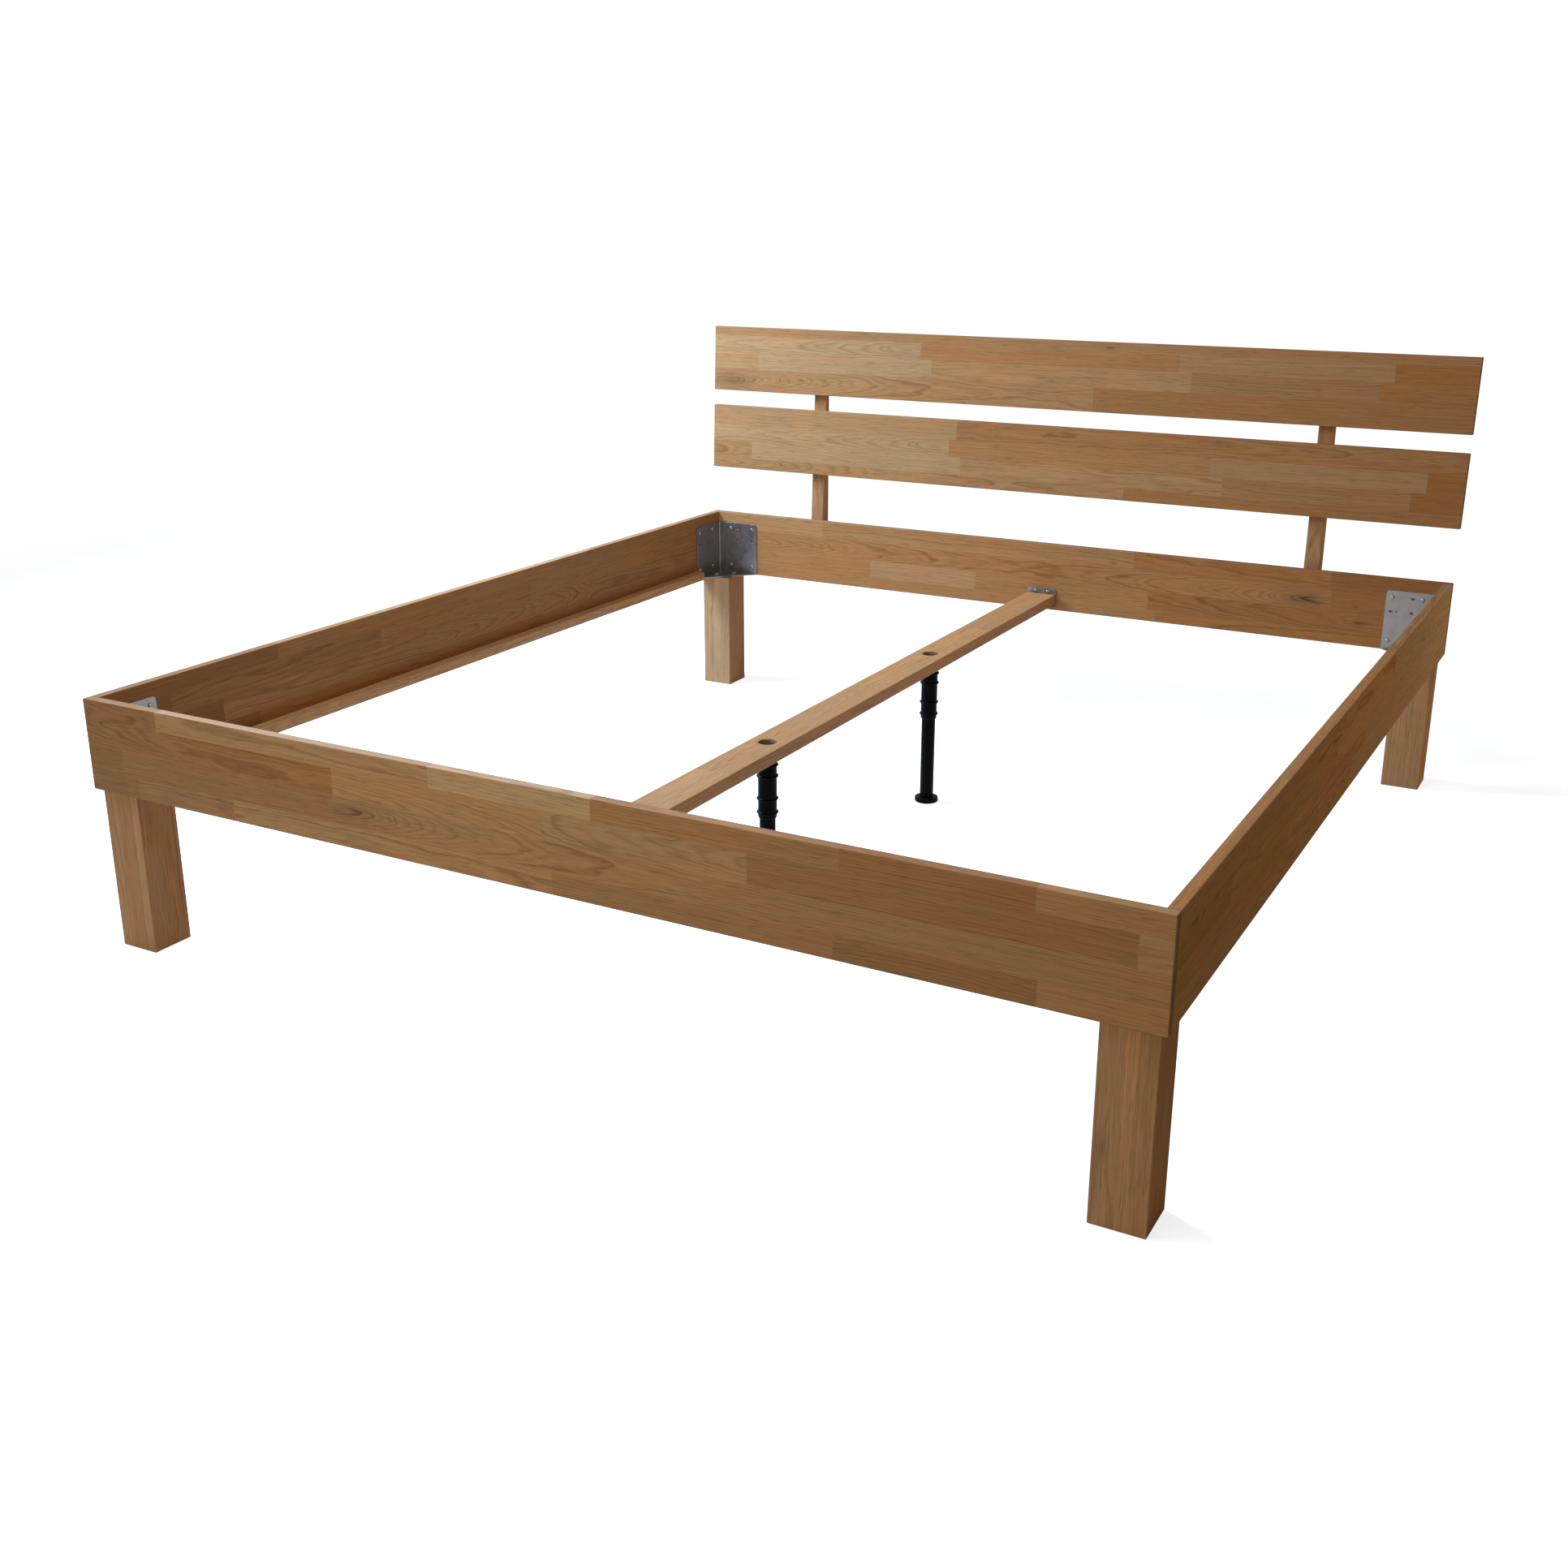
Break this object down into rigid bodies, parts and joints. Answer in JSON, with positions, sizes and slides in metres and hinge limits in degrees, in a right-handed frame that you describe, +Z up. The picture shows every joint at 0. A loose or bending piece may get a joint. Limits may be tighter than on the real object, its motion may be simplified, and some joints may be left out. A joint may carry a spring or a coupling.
{
  "type": "wooden bed frame",
  "caption": "Wide wooden bed frame: board rails on square legs, leaning plank headboard and a centre beam on height-adjustable supports; carries slatted bases and a mattress.",
  "frame": {"origin": "on the floor, under the middle of the whole frame's length (posts included) and width", "axes": "+Z up, +Y from the foot end towards the headboard, +X across the bed to the right of someone looking at the headboard from the foot end"},
  "size_m": [1.868, 2.0814, 0.9283],
  "materials": {
    "oak_board": "oiled glued-stave oak",
    "oak_leg": "oiled oak, grain upright",
    "oak_post": "oiled oak, grain upright",
    "pale_strip": "planed pale solid wood with small knots",
    "galvanised_sheet": "matt galvanised sheet",
    "plated_fastener": "bright zinc plate",
    "black_plastic": "moulded, fine matt grain"
  },
  "bodies": {
    "frame": {"front_rail": "oak_board", "head_rail": "oak_board", "left_rail": "oak_board", "right_rail": "oak_board", "headboard_lower_board": "oak_board", "headboard_upper_board": "oak_board", "left_slat_ledge": "pale_strip", "right_slat_ledge": "pale_strip", "centre_beam": "pale_strip", "front_left_leg": "oak_leg", "front_right_leg": "oak_leg", "rear_left_leg": "oak_leg", "rear_right_leg": "oak_leg", "left_post": "oak_post", "right_post": "oak_post", "front_left_bracket": "galvanised_sheet", "front_right_bracket": "galvanised_sheet", "rear_left_bracket": "galvanised_sheet", "rear_right_bracket": "galvanised_sheet", "front_beam_hanger": "galvanised_sheet", "rear_beam_hanger": "galvanised_sheet", "front_left_leg_bolt_1": "plated_fastener", "front_left_leg_bolt_2": "plated_fastener", "front_right_leg_bolt_1": "plated_fastener", "front_right_leg_bolt_2": "plated_fastener", "rear_left_leg_bolt_1": "plated_fastener", "rear_left_leg_bolt_2": "plated_fastener", "rear_right_leg_bolt_1": "plated_fastener", "rear_right_leg_bolt_2": "plated_fastener", "front_left_bracket_screw_1": "plated_fastener", "front_left_bracket_screw_2": "plated_fastener", "front_right_bracket_screw_1": "plated_fastener", "front_right_bracket_screw_2": "plated_fastener", "rear_left_bracket_screw_1": "plated_fastener", "rear_left_bracket_screw_2": "plated_fastener", "rear_right_bracket_screw_1": "plated_fastener", "rear_right_bracket_screw_2": "plated_fastener", "front_hanger_screw_1": "plated_fastener", "front_hanger_screw_2": "plated_fastener", "rear_hanger_screw_1": "plated_fastener", "rear_hanger_screw_2": "plated_fastener", "left_post_bolt_1": "plated_fastener", "left_post_bolt_2": "plated_fastener", "right_post_bolt_1": "plated_fastener", "right_post_bolt_2": "plated_fastener", "left_lower_board_screw_1": "plated_fastener", "left_lower_board_screw_2": "plated_fastener", "left_upper_board_screw_1": "plated_fastener", "left_upper_board_screw_2": "plated_fastener", "right_lower_board_screw_1": "plated_fastener", "right_lower_board_screw_2": "plated_fastener", "right_upper_board_screw_1": "plated_fastener", "right_upper_board_screw_2": "plated_fastener", "front_support_sleeve": "black_plastic", "rear_support_sleeve": "black_plastic"},
    "front_support": {"front_support_tube": "black_plastic", "front_support_pad": "black_plastic"},
    "rear_support": {"rear_support_tube": "black_plastic", "rear_support_pad": "black_plastic"}
  },
  "joints": [
    {"name": "front_support_height", "type": "slide", "parent": "frame", "child": "front_support", "axis": [0, 0, 1], "range_m": [-0.005, 0.065]},
    {"name": "rear_support_height", "type": "slide", "parent": "frame", "child": "rear_support", "axis": [0, 0, 1], "range_m": [-0.005, 0.065]}
  ]
}
